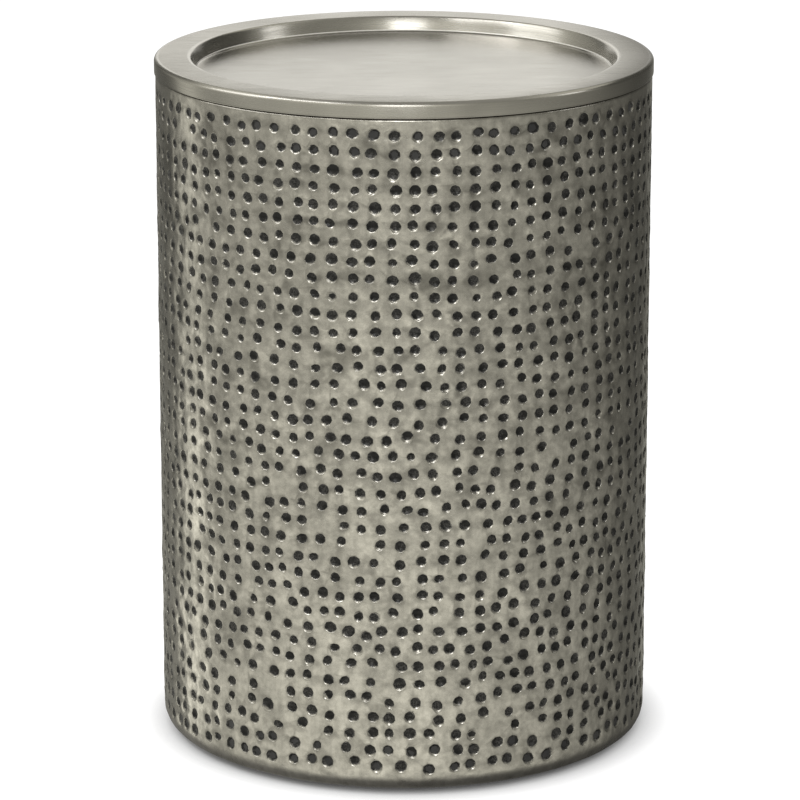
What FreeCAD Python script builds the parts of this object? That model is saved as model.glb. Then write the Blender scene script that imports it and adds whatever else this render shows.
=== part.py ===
import FreeCAD, Part
import math
import os

# Drum side table: a sheet-metal drum that holds things, closed by a loose tray top that lifts off.
# Millimetres, +Z up. The origin is on the drum's axis, at the floor.

# ---- Driving dimensions ----------------------------------------------------------------------------

# Overall
overall_height = 460.0
tray_diameter = 330.0

# Tray top: one pressed sheet
tray_gauge = 1.2
tray_overhang = 0.8           # how far the tray's band stands proud of the drum's wall
tray_band_height = 10.9
tray_rim_width = 24.0         # flat rim, from the band's outside to the recess
tray_recess_depth = 10.4
tray_wall_run = 3.4           # how far the recess's wall leans in on its way down
tray_return_width = 13.0      # the band's lower edge, turned in
tray_outer_bend = 3.0         # bend radii are those of the bend's outside
tray_lip_bend = 1.8
tray_floor_bend = 2.4
tray_return_bend = 2.0

# Locating ring under the tray
ring_thickness = 2.0
ring_height = 20.0
ring_clearance = 1.5          # gap all round, between the ring and the drum's mouth

# Backing disc under the tray's floor
backing_thickness = 3.0
backing_clearance = 0.5

# Clear dots between the tray and the drum
bumper_count = 6
bumper_diameter = 6.0
bumper_thickness = 0.4

# Drum shell: a rolled sheet between two turned rings, welded edge to edge and ground flush
drum_gauge = 1.2
shoulder_bend = 3.0
shoulder_leg = 1.0            # straight part of the mouth ring, below its bend
base_bend = 11.0
base_leg = 4.0                # straight part of the base ring, above its bend
base_lip_width = 8.0          # flat part of the base ring, under its bend
floor_gap = 2.0               # from the floor to the base ring

# Hoop inside the mouth, which backs the joint between the rolled sheet and the mouth ring
hoop_thickness = 3.0
hoop_height = 16.0

# Base pan, whose rim backs the joint between the rolled sheet and the base ring
pan_gauge = 1.2
pan_rim_height = 15.0
pan_bend = 3.0

# Rubber feet
foot_count = 4
foot_inset = 7.2              # gap between the foot and the base ring's lip
foot_first_angle = 45.0
foot_top_diameter = 26.0
foot_tip_diameter = 22.0
foot_edge_radius = 1.5
foot_web = 5.0                # rubber left between the foot's recess and the base pan

# Feet's fasteners
screw_diameter = 5.0
screw_head_diameter = 9.5
screw_head_height = 3.0
screw_head_round = 1.2
screw_point = 1.8             # how far the screw stands out of its nut
drive_across_flats = 3.0
drive_depth = 1.8
washer_diameter = 11.0
washer_thickness = 1.0
nut_across_flats = 8.0
nut_height = 4.0
hole_clearance = 0.3          # radial, round the screw
recess_clearance = 1.0        # radial, round the washer
thread_clearance = 0.05       # radial, screw in nut

# ---- Derived sizes and levels ----------------------------------------------------------------------

AXIS = FreeCAD.Vector(0, 0, 1)
CENTRE = FreeCAD.Vector(0, 0, 0)

tray_radius = tray_diameter / 2
tray_underside = overall_height - tray_band_height
tray_floor_level = overall_height - tray_recess_depth
tray_opening_radius = tray_radius - tray_rim_width
tray_floor_radius = tray_opening_radius - tray_wall_run
tray_return_radius = tray_radius - tray_return_width

ring_radius = tray_return_radius
ring_top = tray_underside + tray_gauge

backing_top = tray_floor_level - tray_gauge
backing_radius = ring_radius - ring_thickness - backing_clearance

drum_radius = tray_radius - tray_overhang
drum_top = tray_underside - bumper_thickness
drum_inner_radius = drum_radius - drum_gauge
mouth_radius = ring_radius + ring_clearance
mouth_flat_edge = drum_radius - shoulder_bend
base_lip_radius = drum_radius - base_bend - base_lip_width
bumper_circle_radius = (mouth_radius + mouth_flat_edge) / 2

wall_top = drum_top - shoulder_bend - shoulder_leg
wall_bottom = floor_gap + base_bend + base_leg

hoop_top = drum_top - shoulder_bend

pan_underside = floor_gap + base_bend
pan_floor_level = pan_underside + pan_gauge

foot_circle_radius = base_lip_radius - foot_inset - foot_top_diameter / 2

screw_radius = screw_diameter / 2
screw_hole_radius = screw_radius + hole_clearance
foot_recess_top = pan_underside - foot_web
foot_recess_radius = washer_diameter / 2 + recess_clearance
head_seat = foot_recess_top - washer_thickness
nut_seat = pan_floor_level + washer_thickness
screw_end = nut_seat + nut_height + screw_point


# ---- Helpers ---------------------------------------------------------------------------------------


def turned(face):
    """Revolve a face of the XZ plane into a solid about the drum's axis."""
    solid = face.revolve(CENTRE, AXIS, 360)
    if solid.Volume < 0:
        solid.reverse()
    return solid


def section_point(radius, level):
    return FreeCAD.Vector(radius, 0, level)


def rounded_edges(corners, bends):
    """Join corners by lines, rounding each inner corner by its bend radius, and give the edges."""
    edges = []
    last = corners[0]
    for before, corner, after, bend in zip(corners, corners[1:], corners[2:], bends):
        to_before = (before - corner).normalize()
        to_after = (after - corner).normalize()
        half_angle = to_before.getAngle(to_after) / 2
        if bend <= 0:
            edges.append(Part.makeLine(last, corner))
            last = corner
            continue
        setback = bend / math.tan(half_angle)
        bisector = (to_before + to_after).normalize()
        start = corner + to_before * setback
        middle = corner + bisector * (bend / math.sin(half_angle) - bend)
        end = corner + to_after * setback
        edges.append(Part.makeLine(last, start))
        edges.append(Part.Arc(start, middle, end).toShape())
        last = end
    edges.append(Part.makeLine(last, corners[-1]))
    return edges


def offset_corners(corners, gauge):
    """Move a section's corners to the sheet's other skin, which lies to the left of the path."""
    normals = []
    for start, end in zip(corners, corners[1:]):
        along = (end - start).normalize()
        normals.append(FreeCAD.Vector(-along.z, 0, along.x))
    moved = [corners[0] + normals[0] * gauge]
    for corner, before, after in zip(corners[1:-1], normals, normals[1:]):
        moved.append(corner + (before + after) * (gauge / (1 + before.dot(after))))
    moved.append(corners[-1] + normals[-1] * gauge)
    return moved


def turns_left(before, corner, after):
    arriving = corner - before
    leaving = after - corner
    return arriving.x * leaving.z - arriving.z * leaving.x > 0


def turned_sheet(points, outside_bends, gauge):
    """Turn a bent sheet: points is one skin's section, and the sheet lies to the left of it."""
    skin = [section_point(radius, level) for radius, level in points]
    skin_bends = []
    other_bends = []
    for before, corner, after, bend in zip(skin, skin[1:], skin[2:], outside_bends):
        inside_bend = max(bend - gauge, 0)
        if turns_left(before, corner, after):
            skin_bends.append(bend)
            other_bends.append(inside_bend)
        else:
            skin_bends.append(inside_bend)
            other_bends.append(bend)
    other = offset_corners(skin, gauge)
    edges = rounded_edges(skin, skin_bends)
    edges.append(Part.makeLine(skin[-1], other[-1]))
    edges += rounded_edges(other[::-1], other_bends[::-1])
    edges.append(Part.makeLine(other[0], skin[0]))
    return turned(Part.Face(Part.Wire(edges)))


def tube(outer_radius, inner_radius, bottom, height):
    outside = Part.makeCylinder(outer_radius, height, FreeCAD.Vector(0, 0, bottom))
    inside = Part.makeCylinder(inner_radius, height, FreeCAD.Vector(0, 0, bottom))
    return outside.cut(inside)


def around(shape, count, radius, first_angle=0.0):
    """Copies of a shape made on the axis, set out on a circle."""
    copies = []
    for index in range(count):
        copy = shape.copy()
        copy.translate(FreeCAD.Vector(radius, 0, 0))
        copy.rotate(CENTRE, AXIS, first_angle + index * 360 / count)
        copies.append(copy)
    return copies


def at_feet(shape):
    return Part.makeCompound(around(shape, foot_count, foot_circle_radius, foot_first_angle))


def hexagon(across_flats, bottom, height):
    corner_radius = across_flats / 2 / math.cos(math.pi / 6)
    corners = []
    for index in range(7):
        angle = index * math.pi / 3
        x = corner_radius * math.cos(angle)
        y = corner_radius * math.sin(angle)
        corners.append(FreeCAD.Vector(x, y, bottom))
    return Part.Face(Part.makePolygon(corners)).extrude(AXIS * height)


def edges_at_level(shape, level):
    """The round edges that lie flat at one level."""
    found = []
    for edge in shape.Edges:
        box = edge.BoundBox
        if abs(box.ZMin - level) < 1e-6 and abs(box.ZMax - level) < 1e-6:
            found.append(edge)
    return found


# ---- Tray ------------------------------------------------------------------------------------------


def tray_top():
    section = [
        (tray_return_radius, tray_underside),
        (tray_radius, tray_underside),
        (tray_radius, overall_height),
        (tray_opening_radius, overall_height),
        (tray_floor_radius, tray_floor_level),
        (0.0, tray_floor_level),
    ]
    bends = [tray_return_bend, tray_outer_bend, tray_lip_bend, tray_floor_bend]
    return turned_sheet(section, bends, tray_gauge)


def tray_ring():
    return tube(ring_radius, ring_radius - ring_thickness, ring_top - ring_height, ring_height)


def tray_backing():
    base = FreeCAD.Vector(0, 0, backing_top - backing_thickness)
    return Part.makeCylinder(backing_radius, backing_thickness, base)


def tray_bumpers():
    base = FreeCAD.Vector(0, 0, drum_top)
    dot = Part.makeCylinder(bumper_diameter / 2, bumper_thickness, base)
    return Part.makeCompound(around(dot, bumper_count, bumper_circle_radius))


# ---- Drum ------------------------------------------------------------------------------------------


def drum_wall():
    return tube(drum_radius, drum_inner_radius, wall_bottom, wall_top - wall_bottom)


def mouth_ring():
    section = [
        (drum_radius, wall_top),
        (drum_radius, drum_top),
        (mouth_radius, drum_top),
    ]
    return turned_sheet(section, [shoulder_bend], drum_gauge)


def base_ring():
    section = [
        (base_lip_radius, floor_gap),
        (drum_radius, floor_gap),
        (drum_radius, wall_bottom),
    ]
    return turned_sheet(section, [base_bend], drum_gauge)


def mouth_hoop():
    inner_radius = drum_inner_radius - hoop_thickness
    return tube(drum_inner_radius, inner_radius, hoop_top - hoop_height, hoop_height)


def base_pan():
    section = [
        (0.0, pan_underside),
        (drum_inner_radius, pan_underside),
        (drum_inner_radius, pan_underside + pan_rim_height),
    ]
    pan = turned_sheet(section, [pan_bend], pan_gauge)
    base = FreeCAD.Vector(0, 0, pan_underside)
    hole = Part.makeCylinder(screw_hole_radius, pan_gauge, base)
    return pan.cut(at_feet(hole))


# ---- Feet ------------------------------------------------------------------------------------------


def foot_bumpers():
    foot = Part.makeCone(foot_tip_diameter / 2, foot_top_diameter / 2, pan_underside)
    foot = foot.makeFillet(foot_edge_radius, edges_at_level(foot, 0.0))
    foot = foot.cut(Part.makeCylinder(foot_recess_radius, foot_recess_top))
    foot = foot.cut(Part.makeCylinder(screw_hole_radius, pan_underside))
    return at_feet(foot)


def foot_washers():
    under_head = tube(washer_diameter / 2, screw_hole_radius, head_seat, washer_thickness)
    under_nut = tube(washer_diameter / 2, screw_hole_radius, pan_floor_level, washer_thickness)
    return Part.makeCompound([at_feet(under_head), at_feet(under_nut)])


def foot_screws():
    head_bottom = head_seat - screw_head_height
    base = FreeCAD.Vector(0, 0, head_bottom)
    head = Part.makeCylinder(screw_head_diameter / 2, screw_head_height, base)
    head = head.makeFillet(screw_head_round, edges_at_level(head, head_bottom))
    head = head.cut(hexagon(drive_across_flats, head_bottom, drive_depth))
    shank_length = screw_end - head_seat
    shank = Part.makeCylinder(screw_radius, shank_length, FreeCAD.Vector(0, 0, head_seat))
    return at_feet(head.fuse(shank).removeSplitter())


def foot_nuts():
    nut = hexagon(nut_across_flats, nut_seat, nut_height)
    base = FreeCAD.Vector(0, 0, nut_seat)
    nut = nut.cut(Part.makeCylinder(screw_radius + thread_clearance, nut_height, base))
    return at_feet(nut)


# ---- Write each node -------------------------------------------------------------------------------

NODES = {
    "tray_top": tray_top,
    "tray_ring": tray_ring,
    "tray_backing": tray_backing,
    "tray_bumpers": tray_bumpers,
    "drum_wall": drum_wall,
    "mouth_ring": mouth_ring,
    "base_ring": base_ring,
    "mouth_hoop": mouth_hoop,
    "base_pan": base_pan,
    "foot_bumpers": foot_bumpers,
    "foot_washers": foot_washers,
    "foot_screws": foot_screws,
    "foot_nuts": foot_nuts,
}

os.makedirs("parts", exist_ok=True)
for name, make in NODES.items():
    shape = make()
    shape.exportStep("parts/" + name + ".step")
    box = shape.BoundBox
    print(name, len(shape.Solids), "solids", round(shape.Volume), "mm3",
          "x", round(box.XMin, 2), round(box.XMax, 2), "z", round(box.ZMin, 2), round(box.ZMax, 2),
          "valid", shape.isValid())
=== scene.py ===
"""Drum side table: a punched metal drum with a loose, brushed tray top, dressed round its CAD frame.

Lengths are in metres. The drum's axis is +Z, its front faces -Y and its weld seam is at the back, +Y.
"""

import logging
import math
from dataclasses import dataclass, field
from enum import Enum
from typing import Any, Iterator, NamedTuple, Sequence, Union

import bmesh
import bpy
import numpy as np
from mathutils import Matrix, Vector
from mathutils.geometry import delaunay_2d_cdt
from mathutils.kdtree import KDTree


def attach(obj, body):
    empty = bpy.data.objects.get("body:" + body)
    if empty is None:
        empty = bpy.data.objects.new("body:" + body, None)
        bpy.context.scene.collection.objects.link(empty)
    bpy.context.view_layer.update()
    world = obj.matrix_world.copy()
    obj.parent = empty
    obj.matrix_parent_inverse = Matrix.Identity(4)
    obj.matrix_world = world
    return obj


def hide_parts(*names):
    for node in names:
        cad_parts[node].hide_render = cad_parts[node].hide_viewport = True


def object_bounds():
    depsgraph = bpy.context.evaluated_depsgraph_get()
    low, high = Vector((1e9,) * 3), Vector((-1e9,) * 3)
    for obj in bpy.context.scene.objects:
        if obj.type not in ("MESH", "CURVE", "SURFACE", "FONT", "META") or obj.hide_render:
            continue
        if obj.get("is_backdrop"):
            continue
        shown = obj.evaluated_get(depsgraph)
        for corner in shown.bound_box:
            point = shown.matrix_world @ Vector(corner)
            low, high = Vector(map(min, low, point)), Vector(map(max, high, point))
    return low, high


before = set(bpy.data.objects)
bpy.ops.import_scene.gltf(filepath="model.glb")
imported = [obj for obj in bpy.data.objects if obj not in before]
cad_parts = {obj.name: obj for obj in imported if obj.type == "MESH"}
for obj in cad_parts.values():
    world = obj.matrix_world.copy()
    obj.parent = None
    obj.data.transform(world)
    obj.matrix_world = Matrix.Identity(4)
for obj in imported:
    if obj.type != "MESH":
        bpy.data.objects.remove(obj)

CAD_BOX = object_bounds()
LOG = logging.getLogger("drum_side_table")

MM = 0.001
TURN = 2 * math.pi
BAKE_MAP = "OFBake"
PUNCH_ATTRIBUTE = "punch"
SOOT_ATTRIBUTE = "soot"

Array = np.ndarray
Arrays = tuple[np.ndarray, ...]
Number = Union[float, np.ndarray]
Triple = tuple[float, float, float]
Piece = bpy.types.Object
Socket = bpy.types.NodeSocket
Value = Union[float, Sequence[float], Socket]
Span = tuple[Value, Value]
Inputs = dict[Union[str, int], Value]

ORIGIN: Triple = (0.0, 0.0, 0.0)
LEVEL: Triple = (1.0, 1.0, 0.0)
SAME_POINT = 1e-9
UNIT: Span = (0.0, 1.0)


class Body(Enum):
    """The CAD bodies that pieces ride on."""

    DRUM = "drum"
    TRAY = "tray"


class Slot(Enum):
    """The record's material slots."""

    NICKEL = "antique_nickel"
    TRAY = "tray_nickel"
    BLACK = "inside_black"
    BOARD = "hardboard"
    CLEAR = "clear_bumper"
    RUBBER = "foot_rubber"
    ZINC = "zinc_plate"


# ---------------------------------------------------------------------------------------------- shader nets


class Noise(NamedTuple):
    """A noise's settings, and the span of its values that a mask made of it spreads from 0 to 1."""

    scale: Value
    detail: float = 2.0
    roughness: float = 0.5
    span: Span = (0.3, 0.7)


class Net:
    """Adds nodes to one tree and wires them."""

    def __init__(self, tree: bpy.types.NodeTree) -> None:
        """Empties the tree that the nodes go in."""
        self.tree = tree
        tree.nodes.clear()

    def node(self, kind: str, inputs: Inputs | None = None, **settings: Any) -> bpy.types.Node:
        """Adds a node.

        Args:
            kind: the node's type, without ShaderNode.
            inputs: a value or a socket for each named or numbered input.
            settings: the node's own properties.

        Returns:
            The new node.
        """
        made = self.tree.nodes.new("ShaderNode" + kind)
        for name, setting in settings.items():
            setattr(made, name, setting)
        for name, value in (inputs or {}).items():
            self.feed(made.inputs[name], value)
        return made

    def feed(self, socket: Socket, value: Value) -> None:
        """Links a socket to a value that is a socket, and otherwise sets it.

        Args:
            socket: the input.
            value: what it takes. A colour has three numbers.
        """
        if isinstance(value, Socket):
            self.tree.links.new(value, socket)
        else:
            socket.default_value = (*value, 1.0) if socket.type == "RGBA" else value

    def math(self, operation: str, *values: Value) -> Socket:
        """A Math node's result for these values."""
        return self.node("Math", dict(enumerate(values)), operation=operation).outputs[0]

    def scaled(self, value: Value, factor: Value, addend: Value) -> Socket:
        """value times factor plus addend."""
        return self.math("MULTIPLY_ADD", value, factor, addend)

    def times(self, first: Value, *others: Value) -> Socket:
        """Multiplies values.

        Args:
            first: the first value.
            others: the other ones.

        Returns:
            Their product.
        """
        for other in others:
            first = self.math("MULTIPLY", first, other)
        return first

    def vector(self, operation: str, *values: Value) -> Socket:
        """A Vector Math node's result for these vectors."""
        made = self.node("VectorMath", dict(enumerate(values)), operation=operation)
        return made.outputs["Value" if operation in ("LENGTH", "DOT_PRODUCT") else "Vector"]

    def remap(self, value: Value, span: Span, onto: Span = UNIT) -> Socket:
        """Maps a value smoothly from one span onto another, and clamps it.

        Args:
            value: the value.
            span: what is mapped.
            onto: what its two ends become.

        Returns:
            The mapped value.
        """
        names = ("Value", "From Min", "From Max", "To Min", "To Max")
        inputs = dict(zip(names, (value, *span, *onto)))
        return self.node("MapRange", inputs, interpolation_type="SMOOTHSTEP").outputs["Result"]

    def noise(self, place: Value, noise: Noise) -> Socket:
        """A noise's value at a place."""
        inputs = dict(zip(("Vector", "Scale", "Detail", "Roughness"), (place, *noise[:3])))
        return self.node("TexNoise", inputs).outputs["Fac"]

    def mask(self, place: Value, noise: Noise, onto: Span = UNIT) -> Socket:
        """A noise's value at a place, with its span mapped onto another."""
        return self.remap(self.noise(place, noise), noise.span, onto)

    def between(self, factor: Value, low: Value, high: Value) -> Socket:
        """The number between low and high at factor."""
        return self.node("Mix", {0: factor, 2: low, 3: high}).outputs[0]

    def blend(self, factor: Value, low: Value, high: Value) -> Socket:
        """The colour between low and high at factor."""
        return self.node("Mix", {"Factor": factor, 6: low, 7: high}, data_type="RGBA").outputs[2]

    def ramp(self, factor: Value, stops: Sequence[tuple[float, float]]) -> Socket:
        """The grey of a ramp at a factor.

        Args:
            factor: where on the ramp, from 0 to 1.
            stops: each stop's place and tone.

        Returns:
            The grey.
        """
        made = self.node("ValToRGB", {"Fac": factor})
        elements = made.color_ramp.elements
        while len(elements) < len(stops):
            elements.new(1.0)
        for element, (place, tone) in zip(elements, stops):
            element.position = place
            element.color = (tone, tone, tone, 1.0)
        return made.outputs["Color"]

    def join(self, x: Value, y: Value, z: Value) -> Socket:
        """The vector x, y, z."""
        return self.node("CombineXYZ", {"X": x, "Y": y, "Z": z}).outputs["Vector"]

    def split(self, vector: Value) -> Sequence[Socket]:
        """The x, y and z of a vector."""
        return self.node("SeparateXYZ", {"Vector": vector}).outputs[:]

    def off_axis(self, vector: Value) -> Socket:
        """How far a vector leads away from the Z axis."""
        return self.vector("LENGTH", self.vector("MULTIPLY", vector, LEVEL))

    def place(self) -> Socket:
        """Where a point is on the object, in metres."""
        return self.node("TexCoord").outputs["Object"]

    def group(self, tree: bpy.types.NodeTree, **inputs: Value) -> Any:
        """The outputs of a shader group with these inputs."""
        return self.node("Group", inputs, node_tree=tree).outputs

    def bump(self, height: Value, distance: float, strength: float = 1.0) -> Socket:
        """The normal of a relief of this height."""
        inputs = {"Height": height, "Distance": distance, "Strength": strength}
        return self.node("Bump", inputs).outputs["Normal"]

    def end(self, factor: Value, low: bpy.types.Node, high: bpy.types.Node) -> None:
        """Ends a material in the mix of two shaders at factor."""
        mixed = self.node("MixShader", {0: factor, 1: low.outputs[0], 2: high.outputs[0]})
        self.node("OutputMaterial", {"Surface": mixed.outputs[0]})


def new_group(name: str, takes: Inputs, gives: Sequence[str]) -> tuple[Net, Any, Any]:
    """Starts a shader group.

    Args:
        name: the group's name.
        takes: its inputs and their defaults, where a tuple makes a vector.
        gives: its float outputs.

    Returns:
        The group's net, the sockets that it takes from and those that it gives to.
    """
    tree = bpy.data.node_groups.new(name, "ShaderNodeTree")
    for label, default in takes.items():
        kind = "NodeSocketVector" if isinstance(default, tuple) else "NodeSocketFloat"
        tree.interface.new_socket(label, in_out="INPUT", socket_type=kind).default_value = default
    for label in gives:
        tree.interface.new_socket(label, in_out="OUTPUT", socket_type="NodeSocketFloat")
    net = Net(tree)
    return net, tree.nodes.new("NodeGroupInput").outputs, tree.nodes.new("NodeGroupOutput").inputs


@dataclass
class Effects:
    """The shader groups that more than one finish uses, each built once."""

    broad: Noise = Noise(1.0, 3.0, 0.55, (0.33, 0.68))
    fine: Noise = Noise(1.0, 4.0, 0.6, (0.35, 0.65))
    fine_times: float = 9.0
    hairs: Noise = Noise(1.0, 3.0, 0.7)
    hairs_along: float = 26.0
    patches: Noise = Noise(1.0)
    patches_along: float = 12.0
    patches_over: float = 90.0
    patches_share: float = 0.16
    grain_span: Span = (0.34, 0.82)
    speck_span: Span = (0.32, 0.08)
    ground: Noise = Noise(1.0, 5.0, 0.65)

    def __post_init__(self) -> None:
        """Builds every group."""
        self.cloud = self._cloud()
        self.grain = self._grain()
        self.speckle = self._speckle()

    def _cloud(self) -> bpy.types.NodeTree:
        """Soft clouds of polish and tarnish: a broad tone, and a fine one.

        Returns:
            The group.
        """
        net, take, give = new_group("cloud", {"Vector": ORIGIN, "Scale": 20.0}, ("Broad", "Fine"))
        fine_scale = net.times(take["Scale"], self.fine_times)
        net.feed(give["Broad"], net.mask(take["Vector"], self.broad._replace(scale=take["Scale"])))
        net.feed(give["Fine"], net.mask(take["Vector"], self.fine._replace(scale=fine_scale)))
        return net.tree

    def _grain(self) -> bpy.types.NodeTree:
        """Hairline brushing, which runs along X where Round is 0, and round the axis where it is 1.

        Returns:
            The group.
        """
        takes = {"Vector": ORIGIN, "Lines": 1500.0, "Radius": 0.165, "Round": 0.0}
        net, take, give = new_group("grain", takes, ("Height", "Tone"))
        x, y, z = net.split(take["Vector"])
        swept = net.times(net.math("ARCTAN2", x, y), take["Radius"])
        along = net.between(take["Round"], x, swept)
        over = net.between(take["Round"], y, z)
        lines = net.join(net.times(along, self.hairs_along), net.times(over, take["Lines"]), take["Round"])
        fine = net.noise(lines, self.hairs)
        wide_along, wide_over = net.times(along, self.patches_along), net.times(over, self.patches_over)
        patches = net.noise(net.join(wide_along, wide_over, take["Round"]), self.patches)
        net.feed(give["Height"], fine)
        tone = net.math("ADD", fine, net.times(patches, self.patches_share))
        net.feed(give["Tone"], net.remap(tone, self.grain_span))
        return net.tree

    def _speckle(self) -> bpy.types.NodeTree:
        """Small specks on a fine, uneven ground.

        Returns:
            The group.
        """
        net, take, give = new_group("speckle", {"Vector": ORIGIN, "Scale": 400.0}, ("Specks", "Ground"))
        cells = net.node("TexVoronoi", {"Vector": take["Vector"], "Scale": take["Scale"]})
        net.feed(give["Specks"], net.remap(cells.outputs["Distance"], self.speck_span))
        net.feed(give["Ground"], net.mask(take["Vector"], self.ground._replace(scale=take["Scale"])))
        return net.tree


# ------------------------------------------------------------------------------------------------- finishes


@dataclass(frozen=True)
class Finish:
    """What every finish has: a name, a slot and a way to shade its surface."""

    name: str
    slot: Slot

    def material(self, effects: Effects) -> bpy.types.Material:
        """Builds the finish's material.

        Args:
            effects: the shared shader groups.

        Returns:
            The material.
        """
        material = bpy.data.materials.new(self.name)
        material.use_nodes = True
        net = Net(material.node_tree)
        surface = net.node("BsdfPrincipled", self.shade(net, net.place(), effects))
        net.node("OutputMaterial", {"Surface": surface.outputs["BSDF"]})
        return material

    def shade(self, net: Net, place: Socket, effects: Effects) -> Inputs:
        """Works out what the surface's shader takes. Each kind of finish has its own way.

        Args:
            net: the material's net.
            place: where a point is.
            effects: the shared shader groups.

        Returns:
            A value for each of the shader's inputs that isn't left as it is.
        """
        raise NotImplementedError


class Spot(NamedTuple):
    """What is known of a point of the drum's skin.

    punch is where it is in its own punch mark, in mark radii, and reach how far it is from the nearest one.
    """

    place: Socket
    height: Socket
    punch: Socket
    reach: Socket


@dataclass(frozen=True)
class PunchedNickel(Finish):
    """Antiqued nickel with a blackened punch in every dimple.

    Its mesh carries where each point is in its own punch, as a share of the punch's radius, and how much
    black that punch holds. All relief is in millimetres.
    """

    bright: Triple = (0.74, 0.713, 0.660)
    dull: Triple = (0.37, 0.357, 0.329)
    black: Triple = (0.006, 0.006, 0.006)
    thin_black: Triple = (0.085, 0.082, 0.075)
    # colour of the real tarnish round the marks, and of the painted shade round the marks, base and mouth
    smudge_and_shade_colour: Triple = (0.15, 0.144, 0.130)
    roughness: Span = (0.29, 0.19)
    cloud_scale: float = 30.0
    broad_share: float = 0.36
    fine_share: float = 0.24
    blotches: Noise = Noise(120.0, 3.0, 0.6)
    blotch_share: float = 0.26
    streaks: Noise = Noise(1.0, 4.0, 0.6, (0.32, 0.68))
    streaks_round: float = 34.0
    streaks_up: float = 2.5
    streak_share: float = 0.14
    edge_sway: Noise = Noise(90.0)
    edge_rise: float = -5 * MM
    # painted shade: the base darkens towards the floor, and the shoulder under the tray's rim darkens
    base_span: Span = (10 * MM, -1 * MM)
    painted_base_shade: Span = (0.0, 0.4)
    mouth_span: Span = (446.5 * MM, 448.2 * MM)
    painted_mouth_shade: Span = (0.0, 0.5)
    wear: Noise = Noise(1050.0, 3.0, 0.7, (0.36, 0.76))
    wear_patches: Noise = Noise(150.0, span=(0.38, 0.64))
    wear_share: Span = (0.05, 1.7)
    soot_span: Span = (1.0, 0.76)
    soot_cover: float = 0.9
    soot_shine: float = 0.32
    soot_dullness: float = 0.05
    soot_shrink: float = 0.9
    soot_sway: Noise = Noise(75.0, 1.0)
    soot_drift: Triple = (0.70, 0.70, 0.0)
    soot_lean: Triple = (-0.37, -0.44, 0.0)
    soot_widen: Triple = (0.86, 1.0, 0.0)
    ragged: Noise = Noise(380.0, 4.0, 0.75)
    ragged_size: float = 0.92
    mark_edge: float = 0.985
    smudge_ragged: float = 0.45
    smudge_span: Span = (1.80, 0.95)
    smudge_share: Span = (0.12, 1.0)
    smudge_patches: Noise = Noise(62.0, span=(0.42, 0.68))
    smudge_rise: Span = (0.05, 0.44)
    smudge_most: Span = (0.5, 0.8)
    # painted shade: a halo round each mark that is darker on its upper-left side
    shade_lean: Triple = (0.11, -0.16, 0.0)
    halo_span: Span = (1.30, 0.92)
    halo_share: Span = (0.0, 0.52)
    wall_span: Span = (0.80, 1.02)
    beyond_span: Span = (0.985, 1.06)
    wall_rise: Span = (0.0, 0.15)
    relief: tuple[tuple[Noise, float], ...] = (
        (Noise(100.0, 1.0), 0.62),
        (Noise(330.0), 0.07),
        (Noise(950.0, 3.0, 0.6), 0.034),
    )

    def shade(self, net: Net, place: Socket, effects: Effects) -> Inputs:
        """Works out what the surface's shader takes.

        Args:
            net: the material's net.
            place: where a point is.
            effects: the shared shader groups.

        Returns:
            A value for each of the shader's inputs that isn't left as it is.
        """
        punch = net.node("Attribute", attribute_name=PUNCH_ATTRIBUTE).outputs["Vector"]
        spot = Spot(place, net.split(place)[2], punch, net.split(punch)[2])
        mask, smudge_and_shade = self._black(net, spot)
        tone = self._tone(net, place, effects)
        metal = net.blend(tone, self.dull, self.bright)
        # darkened by real tarnish near the marks, and by painted shade on their upper-left sides, at the base
        # and at the mouth
        for stain_and_shade in (smudge_and_shade, self._painted_edge_shade(net, spot)):
            metal = net.blend(stain_and_shade, metal, self.smudge_and_shade_colour)
        thin = net.times(net.mask(place, self.wear), net.mask(place, self.wear_patches, self.wear_share))
        worn = net.blend(thin, self.black, self.thin_black)
        return {
            "Base Color": net.blend(mask, metal, worn),
            "Metallic": net.math("SUBTRACT", 1.0, net.times(mask, self.soot_cover)),
            "Specular IOR Level": self.soot_shine,
            "Roughness": net.scaled(mask, self.soot_dullness, net.remap(tone, UNIT, self.roughness)),
            "Normal": net.bump(self._relief(net, spot), MM),
        }

    def _tone(self, net: Net, place: Socket, effects: Effects) -> Socket:
        """Works out how bright the bare metal is: clouds, blotches, and streaks as rubbing leaves them.

        Args:
            net: the material's net.
            place: where a point is.
            effects: the shared shader groups.

        Returns:
            The tone, about from 0 to 1.
        """
        clouds = net.group(effects.cloud, Vector=place, Scale=self.cloud_scale)
        tone = net.scaled(clouds["Fine"], self.fine_share, net.times(clouds["Broad"], self.broad_share))
        tone = net.scaled(net.mask(place, self.blotches), self.blotch_share, tone)
        x, y, z = net.split(place)
        turned = net.times(net.math("ARCTAN2", x, y), self.streaks_round)
        lines = net.join(turned, net.times(z, self.streaks_up), 0.0)
        return net.scaled(net.mask(lines, self.streaks), self.streak_share, tone)

    def _painted_edge_shade(self, net: Net, spot: Spot) -> Socket:
        """Works out the painted shade on the turned-in base, darker towards the floor, and on the drum's
        shoulder under the tray's rim.

        Args:
            net: the material's net.
            spot: the point.

        Returns:
            The painted shade, from 0 to 1.
        """
        uneven = net.scaled(net.noise(spot.place, self.edge_sway), self.edge_rise, spot.height)
        # painted shade at the base where the drum meets the floor, and at the mouth under the tray's rim
        base = net.remap(uneven, self.base_span, self.painted_base_shade)
        return net.math("ADD", base, net.remap(spot.height, self.mouth_span, self.painted_mouth_shade))

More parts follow.
